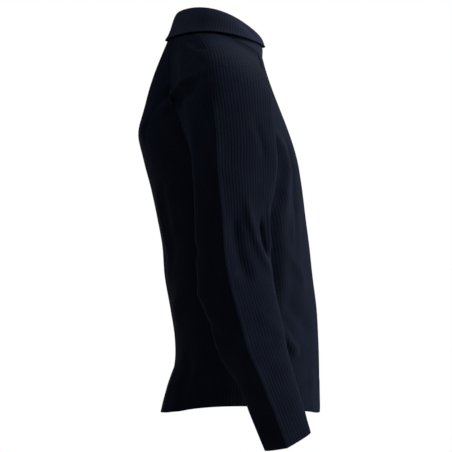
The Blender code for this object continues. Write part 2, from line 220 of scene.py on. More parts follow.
def neck_direction(angle):
    """Unit vector in which the cloth leaves the neck: outwards, and down by its slope."""
    cosine = np.cos(angle)
    end = np.where(cosine > 0, SLOPE_FRONT, SLOPE_BACK)
    slope = SLOPE_SIDE + (end - SLOPE_SIDE) * cosine**2
    x, y = -np.sin(angle) * np.cos(slope), -cosine * np.cos(slope)
    return np.stack([x, y, -np.sin(slope)], axis=-1)


def body_point(row, angle):
    """Superellipse section of the body at a fractional row of its table. The hem is lifted by
    the square of how near it is to a side seam, and the lift fades out upwards as a square."""
    z, front, back, side, half_width = (
        through(BODY_SECTIONS, name, row) for name in BodySection._fields
    )
    power = 2 / BODY_SQUARENESS
    across, along = np.sin(angle), np.cos(angle)
    depth = np.where(along > 0, side - front, back - side)
    x = -half_width * np.sign(across) * np.abs(across) ** power
    y = side - depth * np.sign(along) * np.abs(along) ** power
    fade = np.clip(1 - (z - BODY_SECTIONS[-1].z) / HEM_LIFT_REACH, 0, 1) ** 2
    return np.stack([x, y, z + HEM_SIDE_LIFT * fade * np.abs(x / half_width) ** 2], axis=-1)


def panel_angle(across, is_back):
    """Angle round the body at a fraction across a panel, evenly spaced by length."""
    angle = np.linspace(math.pi / 2, -math.pi / 2, SAMPLES)
    if is_back:
        angle = math.pi - angle
    length = length_along(body_point(np.zeros(SAMPLES), angle))
    return np.interp(across, length / length[-1], angle)


def seam_share(across):
    """1 on a piece's two raglan edges and 0 past SEAM_BLEND in from them."""
    return 1 - smooth(np.minimum(across, 1 - across) / SEAM_BLEND)[..., None]


def raglan_seam(is_back):
    """Start pull and end pull of the right raglan seam."""
    start = neck_direction(np.array(RAGLAN_BACK if is_back else RAGLAN_FRONT)) * SEAM_PULL
    return start, UNDERARM_TANGENT * np.array([1, -1 if is_back else 1, 1])


def yoke(down, across, is_back):
    """A panel above the underarm: cubic curves from the neck seam to the first body section,
    which turn into the raglan seams near its two edges."""
    limit = RAGLAN_BACK if is_back else RAGLAN_FRONT
    turn = 2 * math.pi - 2 * limit if is_back else -2 * limit
    angle = limit + turn * across
    pull = BACK_PULL if is_back else FRONT_PULL
    neck_pull = neck_direction(angle) * pull.neck
    section = panel_angle(across, is_back)
    chest = body_point(np.zeros(section.shape), section)
    chest_pull = unit(body_point(np.full(section.shape, SECTION_STEP), section) - chest)
    chest_pull = chest_pull * pull.underarm
    start, end = raglan_seam(is_back)
    side = np.where(across < 0.5, 1.0, -1.0)[..., None] * np.array([1, 0, 0]) + np.array([0, 1, 1])
    share = seam_share(across)
    neck_pull = neck_pull * (1 - share) + start * side * share
    chest_pull = chest_pull * (1 - share) + end * side * share
    points = hermite(neck_seam(angle), neck_pull, chest, chest_pull, down)
    if is_back:
        near = np.exp(-(((points[..., 2] - BLADE_HEIGHT) / BLADE_REACH) ** 2))
        points[..., 1] += BLADE_OUT * near * (1 - share[..., 0])
    return points


def panel_point(y, across, is_back):
    """Points of a panel's middle surface at a length y down from the neck."""
    section = (y - YOKE_LENGTH) / BODY_LENGTH * (len(BODY_SECTIONS) - 1)
    below = body_point(np.maximum(section, 0), panel_angle(across, is_back))
    above = yoke(np.clip(y / YOKE_LENGTH, 0, 1), across, is_back)
    return np.where((y < YOKE_LENGTH)[..., None], above, below)


def panel_half_width(is_back):
    """Lengths y down to the underarm, and the half width of the cloth at each."""
    y = np.linspace(0, YOKE_LENGTH, DOWN_SAMPLES)
    across = np.linspace(0, 1, ACROSS_SAMPLES)
    grid = panel_point(*np.broadcast_arrays(y[:, None], across[None, :]), is_back)
    half = length_along(grid)[:, -1] / 2
    return y, np.maximum.accumulate(half)


def rib_profile(x):
    """Height of the rib at a distance across it, from 0 in the groove to 1 on the rib."""
    return (0.5 + 0.5 * np.cos(2 * math.pi * x / RIB_PITCH)) ** RIB_FULLNESS


def fold_height(x, y, folds):
    """Sum of the folds: each is a bell across its line, which is bowed as a parabola, and it
    grows from nothing over the first part of its length and dies out over the last."""
    total = np.zeros(np.broadcast(x, y).shape)
    for fold in folds:
        run = np.array([fold.x1 - fold.x0, fold.y1 - fold.y0])
        length = np.hypot(*run)
        t = ((x - fold.x0) * run[0] + (y - fold.y0) * run[1]) / length**2
        off = ((x - fold.x0) * run[1] - (y - fold.y0) * run[0]) / length
        off = off - fold.bow * 4 * t * (1 - t)
        swell = smooth(np.minimum(t, 1 - t) / FOLD_END)
        total += fold.height * swell * np.exp(-((off / fold.width) ** 2))
    return total


def outward(points, is_left_handed):
    """Unit normals of a grid of points, from the cross product of its two directions."""
    down = np.gradient(points, axis=0)
    across = np.gradient(points, axis=1)
    normal = np.cross(down, across)
    normal /= np.maximum(np.linalg.norm(normal, axis=-1, keepdims=True), NEAR_ZERO)
    return -normal if is_left_handed else normal


def soft_shape(points, x, y, folds, edge, is_left_handed):
    """Moves a piece's middle surface out to the face of its cloth, with its folds, its ribs
    and its seams, which are drawn in. edge is the distance to the nearest sewn edge."""
    creased = points + outward(points, is_left_handed) * fold_height(x, y, folds)[..., None]
    seam = -SEAM_DEPTH * np.exp(-((edge / SEAM_WIDTH) ** 2))
    rim = smooth(y / NECK_RIM)
    ribs = (rib_profile(x) - 0.5) * RIB_HEIGHT * rim + (1 - rim) * RIB_HEIGHT / 2
    height = WALL / 2 + ribs + seam
    return creased + outward(creased, is_left_handed) * height[..., None]


def cloth_object(name, points, flat, is_left_handed):
    """A mesh of the grid's quads, with the flat pattern as its UV map, given its thickness
    inwards by Solidify."""
    rows, columns = points.shape[:2]
    corner = np.arange(rows * columns).reshape(rows, columns)
    quads = np.stack(
        [corner[:-1, :-1], corner[1:, :-1], corner[1:, 1:], corner[:-1, 1:]], axis=-1
    ).reshape(-1, 4)
    if is_left_handed:
        quads = quads[:, ::-1]
    mesh = bpy.data.meshes.new(name)
    mesh.from_pydata(points.reshape(-1, 3), [], quads)
    layer = mesh.uv_layers.new(name="flat")
    layer.data.foreach_set("uv", flat.reshape(-1, 2)[quads.ravel()].astype(np.float32).ravel())
    mesh.validate()
    mesh.shade_smooth()
    piece = bpy.data.objects.new(name, mesh)
    bpy.context.scene.collection.objects.link(piece)
    wall = piece.modifiers.new("Wall", "SOLIDIFY")
    wall.thickness = WALL
    wall.offset = -1.0
    return piece


def with_corner(x, corner):
    """The X of a piece's columns, with the one nearest to a corner of the cut moved onto it."""
    return np.where(np.arange(len(x)) == np.argmin(np.abs(x - corner)), corner, x)


def body_panel(name, is_back, folds):
    """A panel: columns of equal X, each running from where it leaves the neck or the raglan
    seam down to the hem. Returns the object and the cut's width, length and area."""
    y_table, half_table = panel_half_width(is_back)
    half = half_table[-1]
    ribs = round(2 * half / RIB_PITCH)
    x = np.linspace(-half, half, PER_RIB * ribs + 1)
    x = with_corner(with_corner(x, half_table[0]), -half_table[0])[None, :]
    top = np.interp(np.abs(x), half_table, y_table, left=0.0)
    length = YOKE_LENGTH + BODY_LENGTH
    y = top + (length - top) * np.linspace(0, 1, ROWS)[:, None]
    half_here = np.interp(y, y_table, half_table)
    points = panel_point(y, 0.5 + x / (2 * half_here), is_back)
    x, y = np.broadcast_arrays(x, y)
    edge = half_here - np.abs(x)
    points = soft_shape(points, x, y, folds, edge, not is_back)
    piece = cloth_object(name, points, np.stack([x, y], axis=-1), not is_back)
    area = 2 * (np.trapz(half_table, y_table) + half * BODY_LENGTH)
    return piece, (2 * half, length), area


CREST_NAVY = (0.0090, 0.0145, 0.0300)
# The groove colour is the same navy darkened: painted shade in the rib's grooves and where the
# stitches sink. The noises also mix it in as random darker tone.
GROOVE_SHADE_NAVY = (0.0022, 0.0030, 0.0070)
STITCH_RELIEF = 0.0005
BUMP_STRENGTH = 0.7
COURSE = 0.0021  # height of one row of stitches
WALES = 3.0  # stitches side by side in the width of a rib and its groove
LEG_SINK = 1.6  # how a stitch sinks from the middle of its wale to the sides
LOOP_WAVE, LOOP_MEAN = 0.25, 0.6  # the wave along a wale, and the level that it is about
LOOP_RELIEF = 0.7  # height of the stitches against that of the fibres
FIBRE_SCALE, FIBRE_DETAIL = 900.0, 3.0
CLOUD_SCALE, CLOUD_DETAIL = 28.0, 2.0
# What makes the colour the crest's and not the groove's: a share everywhere; the crest of the rib
# and the stitches, which are painted shade, darker in the groove and where the stitches sink;
# and the two noises, which make it as much darker as lighter.
SHADE_LEAST, RIB_PAINTED_SHADE, STITCH_PAINTED_SHADE = 0.11, 0.30, 0.25
SHADE_FIBRE, SHADE_CLOUD = 0.7, 0.5
ROUGH_LEAST, ROUGH_FIBRE = 0.78, 0.2
SHINE = 0.05
NAP, NAP_ROUGHNESS, NAP_TINT = 0.03, 0.45, (0.30, 0.42, 0.80, 1)  # a faint bluish nap


def node_group(name, inputs, outputs):
    """A shader node group with these sockets, each a name with its type and, for an input,
    its default value."""
    group = bpy.data.node_groups.new(name, "ShaderNodeTree")
    for label, kind, value in inputs:
        socket = group.interface.new_socket(label, in_out="INPUT", socket_type=kind)
        if value is not None:
            socket.default_value = value
    for label, kind in outputs:
        group.interface.new_socket(label, in_out="OUTPUT", socket_type=kind)
    enter, leave = group.nodes.new("NodeGroupInput"), group.nodes.new("NodeGroupOutput")
    return group, enter.outputs, leave.inputs


def knit_group():
    """Rib knit on the flat pattern, with the wales of V stitches side by side on each rib. A
    stitch's height is a wave along Y whose phase runs on with the distance from its wale's
    middle. The colour is darkened by the cosine of the rib and by the stitches' height, painted
    shade in the groove and where the stitches sink, and fibres are fine noise."""
    group, given, made = node_group(
        "rib_knit",
        (
            ("Flat", "NodeSocketVector", None),
            ("Pitch", "NodeSocketFloat", RIB_PITCH),
            ("Course", "NodeSocketFloat", COURSE),
            ("Crest", "NodeSocketColor", (*CREST_NAVY, 1)),
            ("Groove shade", "NodeSocketColor", (*GROOVE_SHADE_NAVY, 1)),
        ),
        (
            ("Color", "NodeSocketColor"),
            ("Height", "NodeSocketFloat"),
            ("Roughness", "NodeSocketFloat"),
        ),
    )
    nodes, links = group.nodes, group.links

    def math_node(kind, a, b=None, c=None, clamp=False):
        """A Math node's result; each term is a number or another node's socket."""
        node = nodes.new("ShaderNodeMath")
        node.operation = kind
        node.use_clamp = clamp
        for socket, value in zip(node.inputs, (a, b, c)):
            if isinstance(value, (int, float)):
                socket.default_value = value
            elif value is not None:
                links.new(value, socket)
        return node.outputs[0]

    split = nodes.new("ShaderNodeSeparateXYZ")
    links.new(given["Flat"], split.inputs[0])
    turns = math_node("DIVIDE", split.outputs["X"], given["Pitch"])
    rib = math_node("COSINE", math_node("MULTIPLY", turns, 2 * math.pi))
    on_rib = math_node("MULTIPLY_ADD", rib, 0.5, 0.5)

    wale = math_node("FRACT", math_node("MULTIPLY", turns, WALES))
    from_middle = math_node("ABSOLUTE", math_node("SUBTRACT", wale, 0.5))
    phase = math_node("ADD", math_node("DIVIDE", split.outputs["Y"], given["Course"]), from_middle)
    stitch = math_node("SINE", math_node("MULTIPLY", phase, 2 * math.pi))
    leg = math_node("SUBTRACT", 1.0, math_node("MULTIPLY", from_middle, LEG_SINK))
    loops = math_node("MULTIPLY", math_node("MULTIPLY_ADD", stitch, LOOP_WAVE, LOOP_MEAN), leg)

    def noise_value(scale, detail):
        """Noise from 0 to 1 over the flat pattern."""
        noise = nodes.new("ShaderNodeTexNoise")
        noise.inputs["Scale"].default_value = scale
        noise.inputs["Detail"].default_value = detail
        links.new(given["Flat"], noise.inputs["Vector"])
        return noise.outputs["Fac"]

    fibre = noise_value(FIBRE_SCALE, FIBRE_DETAIL)
    cloud = noise_value(CLOUD_SCALE, CLOUD_DETAIL)
    links.new(math_node("MULTIPLY_ADD", loops, LOOP_RELIEF, fibre), made["Height"])
    # The rib and stitch terms are painted shade: the colour darkens in the groove and where the
    # stitches sink.
    stitch_shade = math_node("MULTIPLY_ADD", loops, STITCH_PAINTED_SHADE, SHADE_LEAST)
    rib_and_stitch_shade = math_node("MULTIPLY_ADD", on_rib, RIB_PAINTED_SHADE, stitch_shade)
    grain = math_node("MULTIPLY_ADD", fibre, SHADE_FIBRE, -SHADE_FIBRE / 2)
    patch = math_node("MULTIPLY_ADD", cloud, SHADE_CLOUD, -SHADE_CLOUD / 2)
    mixed = math_node("ADD", math_node("ADD", rib_and_stitch_shade, grain), patch, clamp=True)
    colour = nodes.new("ShaderNodeMix")
    colour.data_type = "RGBA"
    links.new(mixed, colour.inputs[0])
    links.new(given["Groove shade"], colour.inputs[6])
    links.new(given["Crest"], colour.inputs[7])
    links.new(colour.outputs[2], made["Color"])
    rough = math_node("MULTIPLY_ADD", fibre, ROUGH_FIBRE, ROUGH_LEAST)
    links.new(rough, made["Roughness"])
    return group


RIB_KNIT = knit_group()


def knit_material(name, crest, groove, pitch, relief):
    """Dull navy wool: the rib knit's colour, with its painted shade in the groove and between the
    stitches, its roughness and bump, with a faint bluish nap.
    """
    material = bpy.data.materials.new(name)
    material.use_nodes = True
    nodes, links = material.node_tree.nodes, material.node_tree.links
    shader = nodes["Principled BSDF"]
    flat = nodes.new("ShaderNodeUVMap")
    flat.uv_map = "flat"
    knit = nodes.new("ShaderNodeGroup")
    knit.node_tree = RIB_KNIT
    knit.inputs["Pitch"].default_value = pitch
    knit.inputs["Crest"].default_value = (*crest, 1)
    knit.inputs["Groove shade"].default_value = (*groove, 1)
    links.new(flat.outputs["UV"], knit.inputs["Flat"])
    bump = nodes.new("ShaderNodeBump")
    bump.inputs["Strength"].default_value = BUMP_STRENGTH
    bump.inputs["Distance"].default_value = relief
    links.new(knit.outputs["Height"], bump.inputs["Height"])
    links.new(knit.outputs["Color"], shader.inputs["Base Color"])
    links.new(knit.outputs["Roughness"], shader.inputs["Roughness"])
    links.new(bump.outputs["Normal"], shader.inputs["Normal"])
    shader.inputs["Specular IOR Level"].default_value = SHINE
    shader.inputs["Sheen Weight"].default_value = NAP
    shader.inputs["Sheen Roughness"].default_value = NAP_ROUGHNESS
    shader.inputs["Sheen Tint"].default_value = NAP_TINT
    return material


for panel_name, panel_is_back, panel_folds in (
    ("front_panel", False, FRONT_FOLDS),
    ("back_panel", True, BACK_FOLDS),
):
    panel, panel_cut, panel_area = body_panel(panel_name, panel_is_back, panel_folds)
    node = "back" if panel_is_back else "front"
    panel.data.materials.append(
        knit_material(panel_name + "_knit", CREST_NAVY, GROOVE_SHADE_NAVY, RIB_PITCH, STITCH_RELIEF)
    )
    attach(panel, "root")
    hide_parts(node)

# ---------------------------------------------------------------------------
# Sleeves. Each is one piece of the same rib, cut to run from the neck over the shoulder to a
# plain cuff, sewn into a tube from the underarm down and set in by its two raglan edges. It
# was pressed flat along its middle line, which shows as a crease down the outer side.
# ---------------------------------------------------------------------------

# The middle line at a section, and how far the sleeve reaches from it to the front, to the
# back, outwards and inwards.
SleeveSection = namedtuple("SleeveSection", "z x y front back out inner")
SLEEVE_SECTIONS = (
    SleeveSection(-0.2290, -0.2225, -0.0065, 0.0948, 0.0355, 0.0500, 0.0490),
    SleeveSection(-0.2650, -0.2250, -0.0105, 0.0862, 0.0395, 0.0490, 0.0450),
    SleeveSection(-0.3070, -0.2270, -0.0145, 0.0740, 0.0425, 0.0480, 0.0420),
    SleeveSection(-0.3610, -0.2290, -0.0180, 0.0710, 0.0440, 0.0470, 0.0400),
    SleeveSection(-0.4080, -0.2300, -0.0270, 0.0670, 0.0490, 0.0460, 0.0390),
    SleeveSection(-0.4470, -0.2300, -0.0370, 0.0640, 0.0480, 0.0440, 0.0380),
    SleeveSection(-0.4790, -0.2300, -0.0460, 0.0620, 0.0460, 0.0430, 0.0370),
    SleeveSection(-0.5100, -0.2290, -0.0550, 0.0590, 0.0440, 0.0400, 0.0350),
    SleeveSection(-0.5460, -0.2280, -0.0710, 0.0510, 0.0365, 0.0360, 0.0320),
    SleeveSection(-0.5730, -0.2270, -0.0820, 0.0470, 0.0350, 0.0330, 0.0300),
    SleeveSection(-0.6000, -0.2260, -0.0935, 0.0440, 0.0365, 0.0300, 0.0280),
    SleeveSection(-0.6550, -0.2230, -0.1150, 0.0390, 0.0355, 0.0260, 0.0240),
)
CREASE_SHOULDER = 0.30  # 1 would make the outer side round, and less leaves it pointed
INNER_SHIFT = 0.010  # how far in front of the middle line the underarm seam lies
SECTION_REACH = 0.25  # part of a section up and down that gives the sleeve's direction
CUFF_DROOP = 0.005  # how much lower the cuff's outer side hangs
DROOP_POWER = 6  # how fast that fades out upwards
RING_BLEND = 0.30  # share of the way round, from its seam, that is drawn in to the underarm
DRAWN_DOWN = 0.8  # part of a section down to which it is drawn in
UNDERARM_INSET = 0.0034  # how far outside the body's side the sleeve's underarm lies
SHOULDER_PULL = Pull(0.52, 0.48)  # of the curve over the top of the shoulder
SLEEVE_PULL = Pull(0.22, 0.26)  # of those far in front of it and behind it
TOP_POWER = 4  # power of the sine by which one gives way to the other
SLEEVE_TURN = 0.75  # share that is kept of a pull's part forwards or backwards, at the neck
SLEEVE_LEAN = 0.10  # how far forwards the curves in front lean where they arrive
SHOULDER_HEIGHT = -0.078  # where the shoulder is fuller in front
SHOULDER_REACH = 0.045  # how far up and down
SHOULDER_OUT = 0.0085  # by how much
SHOULDER_SPAN = 0.5  # and over what share of the way from the front seam to the back one
SHOULDER_LENGTH = 0.290  # from the neck seam to the underarm, along the crease
SLEEVE_ROWS = 158
UNDERARM_POINT = 0.0006  # how far short of its point the cut's corner at the underarm is ended
ROUNDING = 14  # columns on each side of a point that are averaged to round the crease off
ROUNDED_WIDTH = 0.034  # how far from the crease that reaches
ROUNDED_FROM = 0.160  # how far down the sleeve it starts to fade
ROUNDED_FADE = 0.070  # and over what length
# Where the sleeve's middle line lies between its two raglan seams, at even steps down the
# shoulder: 0 is the front seam and 1 the back one.
Crease = namedtuple("Crease", "across")
CREASE_PATH = tuple(
    Crease(across)
    for across in (0.715, 0.653, 0.612, 0.595, 0.590, 0.595, 0.603, 0.610, 0.615, 0.617, 0.616)
)

# x is towards the sleeve's front edge, from its pressed crease.
RIGHT_SLEEVE_FOLDS = (
    # the pressed crease stands up a little
    Fold(0.0020, 0.190, 0.0020, 0.800, 0.000, 0.0028, 0.0006),
    # the fuller front half, rounded from shoulder to cuff
    Fold(0.044, 0.100, 0.040, 0.820, 0.002, 0.030, 0.0036),
    # the crook of the elbow: a hollow, the forearm's ridge that rises out of it, and the upper
    # arm's front edge, which overlaps it
    Fold(0.022, 0.350, 0.036, 0.490, -0.003, 0.012, -0.0045),
    Fold(0.044, 0.325, 0.086, 0.480, -0.003, 0.008, 0.0045),
    Fold(0.077, 0.362, 0.0862, 0.446, -0.001, 0.0058, -0.0062),
    Fold(0.0955, 0.345, 0.0920, 0.436, 0.002, 0.0032, 0.0026),
    Fold(0.062, 0.235, 0.086, 0.290, 0.003, 0.007, -0.0022),
    # behind the elbow
    Fold(-0.112, 0.395, -0.030, 0.436, 0.006, 0.010, -0.0035),
    Fold(-0.100, 0.455, -0.024, 0.482, -0.006, 0.010, 0.0035),
    Fold(-0.085, 0.500, -0.030, 0.560, 0.006, 0.010, -0.0025),
    Fold(0.030, 0.520, 0.070, 0.590, 0.004, 0.010, 0.0020),
    # the ridge across the back of the shoulder, which starts on the back, and dents by the neck
    Fold(-0.160, 0.105, -0.004, 0.149, -0.012, 0.0074, 0.0070),
    Fold(-0.125, 0.148, -0.020, 0.174, -0.008, 0.010, -0.0048),
    Fold(-0.044, 0.020, -0.028, 0.070, 0.000, 0.011, 0.0022),
    Fold(-0.018, 0.018, -0.004, 0.080, 0.002, 0.010, -0.0024),
    Fold(-0.082, 0.078, -0.036, 0.096, 0.002, 0.008, 0.0024),
)
LEFT_SLEEVE_FOLDS = (
    Fold(0.0020, 0.185, 0.0020, 0.800, 0.000, 0.0028, 0.0006),
    Fold(0.046, 0.110, 0.040, 0.820, 0.002, 0.031, 0.0032),
    Fold(0.020, 0.342, 0.032, 0.478, -0.003, 0.012, -0.0040),
    Fold(0.048, 0.320, 0.086, 0.468, -0.002, 0.009, 0.0035),
    Fold(0.081, 0.354, 0.0875, 0.430, -0.001, 0.0050, -0.0080),
    Fold(0.0960, 0.336, 0.0925, 0.428, 0.002, 0.0034, 0.0024),
    Fold(0.066, 0.228, 0.084, 0.284, 0.003, 0.008, -0.0020),
    Fold(-0.108, 0.388, -0.028, 0.428, 0.007, 0.011, -0.0040),
    Fold(-0.096, 0.448, -0.022, 0.474, -0.006, 0.010, 0.0030),
    Fold(-0.080, 0.506, -0.034, 0.556, 0.005, 0.011, -0.0025),
    Fold(0.034, 0.512, 0.072, 0.578, 0.004, 0.010, 0.0020),
    Fold(-0.160, 0.112, -0.008, 0.155, -0.011, 0.0090, 0.0040),
    Fold(-0.136, 0.158, -0.034, 0.180, -0.004, 0.011, -0.0030),
    Fold(-0.034, 0.034, -0.020, 0.066, 0.000, 0.007, 0.0020),
    Fold(-0.016, 0.030, -0.004, 0.062, 0.002, 0.006, -0.0018),
)


def sleeve_columns(row):
    """Every column of the sleeve's table at fractional rows."""
    return (through(SLEEVE_SECTIONS, name, row) for name in SleeveSection._fields)


def crease_to_seam(tip, out, inner, w):
    """Half of the sleeve's section, as forward and outward distances from its middle line. w
    runs from 0 at the crease, over a parabola to 1 at the tip, which is the section's front or
    back, and round a quarter ellipse to 2 at the underarm seam."""
    t = 1 - np.clip(w, 0, 1)
    a = (2 - np.clip(w, 1, 2)) * math.pi / 2
    is_outer = w < 1
    forward = np.where(is_outer, tip * (1 - t * t), INNER_SHIFT + (tip - INNER_SHIFT) * np.sin(a))
    bulge = out * (2 * CREASE_SHOULDER * t * (1 - t) + t * t)
    return forward, np.where(is_outer, bulge, -inner * np.cos(a))


def half_lengths(row, is_front):
    """w from 0 to 2, and the length from the crease to each w, at one section."""
    w = np.linspace(0, 2, SAMPLES)
    _, _, _, front, back, out, inner = sleeve_columns(np.array(float(row)))
    forward, outer = crease_to_seam(front if is_front else -back, out, inner, w)
    return w, length_along(np.stack([forward, outer], axis=-1))


def sleeve_ring(row, share, is_front):
    """Points of the sleeve at a fractional section, at a share of the way from the crease to
    the underarm seam. The first section is drawn in towards the body's underarm point."""
    z, x, y, front, back, out, inner = sleeve_columns(row)
    w_front, length_front = half_lengths(1, True)  # all sections are spaced as the second is
    w_back, length_back = half_lengths(1, False)
    w = np.where(
        is_front,
        np.interp(share, length_front / length_front[-1], w_front),
        np.interp(share, length_back / length_back[-1], w_back),
    )
    forward, outer = crease_to_seam(np.where(is_front, front, -back), out, inner, w)
    ahead, behind = (
        np.stack([through(SLEEVE_SECTIONS, name, at) for name in ("x", "y", "z")], axis=-1)
        for at in (row + SECTION_REACH, np.maximum(row - SECTION_REACH, 0))
    )
    along = unit(ahead - behind)
    front_way = unit(np.cross(along, np.array([1.0, 0.0, 0.0])))
    out_way = np.cross(along, front_way)
    points = np.stack([x, y, z], axis=-1)
    points = points + forward[..., None] * front_way + outer[..., None] * out_way
    near_cuff = (row / (len(SLEEVE_SECTIONS) - 1)) ** DROOP_POWER
    points[..., 2] -= CUFF_DROOP * near_cuff * np.maximum(outer, 0) / out
    return points


def sleeve_underarm(share, is_front, row):
    """How far the sleeve's inner side is drawn in to the underarm at a section."""
    from_seam = (1 - share) * np.where(is_front, CREASE_SHARE, 1 - CREASE_SHARE)
    first = np.zeros(())
    inner = sleeve_ring(first, np.ones(()), np.array(True))
    underarm = body_point(first, np.array(math.pi / 2)) - np.array([UNDERARM_INSET, 0, 0])
    drawn = (1 - smooth(from_seam / RING_BLEND)) * (1 - smooth(row / DRAWN_DOWN))
    return drawn[..., None] * (underarm - inner)


FRONT_LENGTH = half_lengths(0, True)[1][-1]  # from the crease to the underarm seam, in front
BACK_LENGTH = half_lengths(0, False)[1][-1]
CREASE_SHARE = FRONT_LENGTH / (FRONT_LENGTH + BACK_LENGTH)


def shoulder(down, share, is_front):
    """The sleeve above the underarm: cubic curves from the neck seam to the first ring. The
    middle line starts further back on the neck than halfway between the raglan seams."""
    crease = through(CREASE_PATH, "across", down * (len(CREASE_PATH) - 1))
    across = np.where(is_front, crease * (1 - share), crease + (1 - crease) * share)
    angle = RAGLAN_FRONT + (RAGLAN_BACK - RAGLAN_FRONT) * across
    top = np.sin(angle)[..., None] ** TOP_POWER
    leave = SLEEVE_PULL.neck + (SHOULDER_PULL.neck - SLEEVE_PULL.neck) * top
    neck_pull = neck_direction(angle) * leave * np.array([1, SLEEVE_TURN, 1])
    first = np.zeros(share.shape)
    ring = sleeve_ring(first, share, is_front) + sleeve_underarm(share, is_front, first)
    lean = -SLEEVE_LEAN * np.maximum(np.cos(math.pi * across), 0)
    arrive = SLEEVE_PULL.underarm + (SHOULDER_PULL.underarm - SLEEVE_PULL.underarm) * top
    ring_pull = arrive * np.stack([0 * lean, lean, 0 * lean - 1], axis=-1)
    seam = seam_share(across)
    (front_start, front_end), (back_start, back_end) = raglan_seam(False), raglan_seam(True)
    ahead = is_front[..., None]
    neck_pull = neck_pull * (1 - seam) + np.where(ahead, front_start, back_start) * seam
    ring_pull = ring_pull * (1 - seam) + np.where(ahead, front_end, back_end) * seam
    points = hermite(neck_seam(angle), neck_pull, ring, ring_pull, down)
    near = np.exp(-(((points[..., 2] - SHOULDER_HEIGHT) / SHOULDER_REACH) ** 2))
    bulge = np.sin(math.pi * np.minimum(across / SHOULDER_SPAN, 1))
    points[..., 1] -= SHOULDER_OUT * near * bulge
    return points


STEPS_PER_SECTION = 8
ARM_ROWS = np.linspace(
    0, len(SLEEVE_SECTIONS) - 1, STEPS_PER_SECTION * (len(SLEEVE_SECTIONS) - 1) + 1
)
ARM_LINE = length_along(
    np.stack([through(SLEEVE_SECTIONS, name, ARM_ROWS) for name in ("x", "y", "z")], axis=-1)
)
ARM_LENGTH = ARM_LINE[-1]


def sleeve_point(y, share, is_front):
    """Points of the sleeve's middle surface at a length y down from the neck."""
    y, share, is_front = np.broadcast_arrays(y, share, is_front)
    above = shoulder(np.clip(y / SHOULDER_LENGTH, 0, 1), share, is_front)
    row = np.interp(y - SHOULDER_LENGTH, ARM_LINE, ARM_ROWS)
    below = sleeve_ring(row, share, is_front) + sleeve_underarm(share, is_front, row)
    return np.where((y < SHOULDER_LENGTH)[..., None], above, below)


def sleeve_widths(is_front):
    """Lengths y down the sleeve, and the width of the cut at each from the crease to the edge:
    the length round the cloth as far as the underarm, then straight from there to the cuff."""
    y = np.linspace(0, SHOULDER_LENGTH, DOWN_SAMPLES)
    share = np.linspace(0, 1, ACROSS_SAMPLES)
    grid = sleeve_point(y[:, None], share[None, :], np.array(is_front))
    width = np.maximum.accumulate(length_along(grid)[:, -1])
    cuff = half_lengths(len(SLEEVE_SECTIONS) - 1, is_front)[1][-1]
    return np.append(y, SHOULDER_LENGTH + ARM_LENGTH), np.append(width, cuff)


def rounded(points, x, y):
    """Rounds off the crease over the shoulder, where the worn sleeve is full: each point near
    it goes to the mean of its row's next columns on both sides."""
    shifts = range(-ROUNDING, ROUNDING + 1)
    mean = np.mean([np.roll(points, shift, axis=1) for shift in shifts], axis=0)
    share = np.exp(-((x / ROUNDED_WIDTH) ** 2)) * (1 - smooth((y - ROUNDED_FROM) / ROUNDED_FADE))
    return points + (mean - points) * share[..., None]


HalfCut = namedtuple("HalfCut", "x top bottom lengths widths")


def half_cut(is_front):
    """The front or back half of a sleeve's cut, from the crease: the X of its columns, the Y at
    which each starts and ends, and the cut's width at a list of lengths down it."""
    lengths, widths = sleeve_widths(is_front)
    width = widths[-2]
    x = np.linspace(0, width, round(PER_RIB * width / RIB_PITCH) + 1)
    x = with_corner(with_corner(x, widths[0]), widths[-1])
    inside = np.minimum(x, width - UNDERARM_POINT)
    top = np.interp(inside, widths[:-1], lengths[:-1], left=0.0)
    bottom = np.interp(-inside, -widths[-2:], lengths[-2:])
    return HalfCut(x, top, bottom, lengths, widths)


def sleeve(name, is_left, folds):
    """A sleeve: columns of equal X, each from the neck or a raglan seam down to where it meets
    the underarm seam or the cuff. Returns the object and the cut's width, length and area."""
    back, front = half_cut(False), half_cut(True)
    x = np.concatenate([-back.x[::-1], front.x[1:]])
    top = np.concatenate([back.top[::-1], front.top[1:]])
    bottom = np.concatenate([back.bottom[::-1], front.bottom[1:]])
    y = top + (bottom - top) * np.linspace(0, 1, SLEEVE_ROWS)[:, None]
    x, y = np.broadcast_arrays(x[None, :], y)
    is_front = x > 0
    front_width = np.interp(y, front.lengths, front.widths)
    width = np.where(is_front, front_width, np.interp(y, back.lengths, back.widths))
    points = rounded(sleeve_point(y, np.clip(np.abs(x) / width, 0, 1), is_front), x, y)
    points = soft_shape(points, x, y, folds, width - np.abs(x), False)
    if is_left:
        points = points * np.array([-1, 1, 1])
    piece = cloth_object(name, points, np.stack([x, y], axis=-1), is_left)
    total = back.widths[-2] + front.widths[-2]
    area = np.trapz(back.widths, back.lengths) + np.trapz(front.widths, front.lengths)
    return piece, (total, SHOULDER_LENGTH + ARM_LENGTH), area


for sleeve_name, sleeve_is_left, sleeve_folds in (
    ("right_sleeve", False, RIGHT_SLEEVE_FOLDS),
    ("left_sleeve", True, LEFT_SLEEVE_FOLDS),
):
    tube, sleeve_cut, sleeve_area = sleeve(sleeve_name, sleeve_is_left, sleeve_folds)
    node = "sleeve_left" if sleeve_is_left else "sleeve_right"
    tube.data.materials.append(
        knit_material(sleeve_name + "_knit", CREST_NAVY, GROOVE_SHADE_NAVY, RIB_PITCH, STITCH_RELIEF)
    )
    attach(tube, "root")
    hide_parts(node)

# ---------------------------------------------------------------------------
# Collar. A tube of the same wool in a finer, flatter rib, sewn to the neck by one edge, stood
# up round the neck and folded over, so that its free edge lies just above the seam.
# ---------------------------------------------------------------------------

